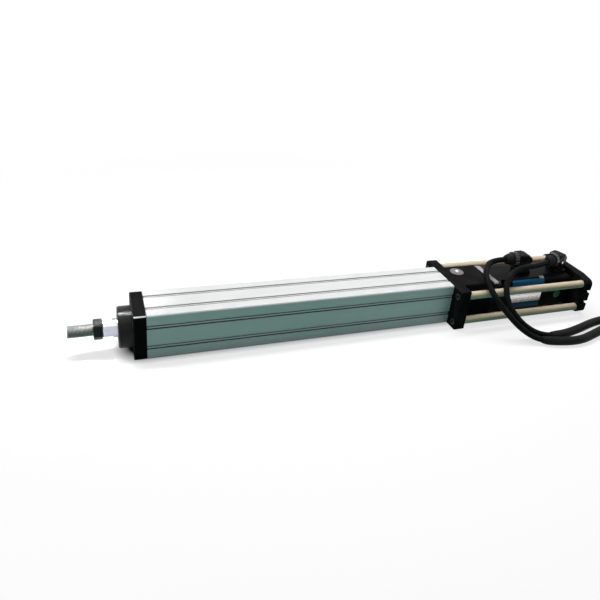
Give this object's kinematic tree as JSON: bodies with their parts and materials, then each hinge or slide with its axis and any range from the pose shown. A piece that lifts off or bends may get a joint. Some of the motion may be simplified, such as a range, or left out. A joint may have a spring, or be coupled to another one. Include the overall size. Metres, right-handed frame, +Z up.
{
  "type": "electric linear actuator",
  "caption": "Electric linear actuator: a servo motor and ball screw push a threaded rod out of a square slotted aluminium body, with the motor held behind it between tie rods.",
  "frame": {"origin": "middle of the footprint on the bench, below the mid-length of the rod end and the rear plate", "axes": "+X along the actuator towards the rear plate, so the rod extends towards -X; +Z up; the leads leave on the -Y side"},
  "size_m": [0.948, 0.2825, 0.097],
  "materials": {
    "silver_anodised": "satin anodised",
    "black_anodised": "black anodised, slightly worn at the edges",
    "bolt_steel": "zinc plated",
    "hard_chrome": "ground and chromed",
    "zinc_steel": "zinc plated",
    "black_oxide": "blackened steel, slightly oily",
    "tie_rod_steel": "drawn, yellow passivated",
    "bronze": "bronze and copper",
    "nitrile": "matte",
    "bearing_steel": "ground",
    "stack_steel": "laminated",
    "light_alloy": "machined",
    "motor_black": "black, semi gloss",
    "slide_plastic": "natural",
    "plug_black": "moulded",
    "lead_black": "smooth jacket with a soft shine",
    "nickel_plate": "nickel plated",
    "hood_grey": "moulded"
  },
  "bodies": {
    "housing": {"body_extrusion": "silver_anodised", "front_cap": "black_anodised", "body_bolts": "bolt_steel", "rod_guide": "black_anodised", "rod_bushes": "bronze", "rod_wiper": "nitrile", "end_bumpers": "nitrile", "bearing_outer_rings": "bearing_steel", "bearing_cover": "bearing_steel", "bearing_cover_screws": "bolt_steel", "rear_flange": "black_anodised", "box_screws": "bolt_steel", "coupling_box": "black_anodised", "access_plug": "bolt_steel", "tie_rods": "tie_rod_steel", "tie_rod_front_screws": "bolt_steel", "tie_rod_rear_screws": "bolt_steel", "rear_plate": "black_anodised", "motor_flange": "light_alloy", "motor_screws": "bolt_steel", "motor_can": "motor_black", "motor_end_shield": "light_alloy", "motor_bearings": "bearing_steel", "stator_core": "stack_steel", "stator_windings": "bronze", "motor_rear_cover": "motor_black", "power_socket": "plug_black", "encoder_socket": "plug_black", "power_plug": "plug_black", "encoder_plug": "plug_black", "plug_rings": "plug_black", "plug_glands": "lead_black", "power_cable": "lead_black", "encoder_cable": "lead_black", "cable_coil": "lead_black", "coil_tie": "plug_black", "power_lead_connector": "nickel_plate", "power_lead_ring": "nickel_plate", "encoder_lead_hood": "hood_grey", "encoder_lead_shell": "nickel_plate"},
    "rod": {"piston_rod": "hard_chrome", "rod_end_stud": "zinc_steel", "jam_nut": "black_oxide", "nut_carrier": "black_anodised", "guide_rings": "slide_plastic", "magnet_ring": "stack_steel", "guide_keys": "slide_plastic", "ball_nut": "bearing_steel"},
    "drive": {"ball_screw": "bearing_steel", "screw_tip_bush": "slide_plastic", "bearing_inner_rings": "bearing_steel", "bearing_ball_cages": "bearing_steel", "bearing_lock_nut": "bearing_steel", "coupling_hub_front": "light_alloy", "coupling_spider": "nitrile", "coupling_hub_rear": "light_alloy", "motor_shaft": "bearing_steel", "rotor_core": "stack_steel", "encoder_disc": "slide_plastic"}
  },
  "joints": [
    {"name": "screw_spin", "type": "hinge", "parent": "housing", "child": "drive", "pos_m": [-0.02, 0, 0.0325], "axis": [1, 0, 0], "range_deg": [0, 10800]},
    {"name": "rod_slide", "type": "slide", "parent": "housing", "child": "rod", "axis": [-1, 0, 0], "range_m": [0, 0.3]}
  ],
  "couplings": [
    {"joint": "screw_spin", "follows": "rod_slide", "rad_per_m": 628.32}
  ]
}
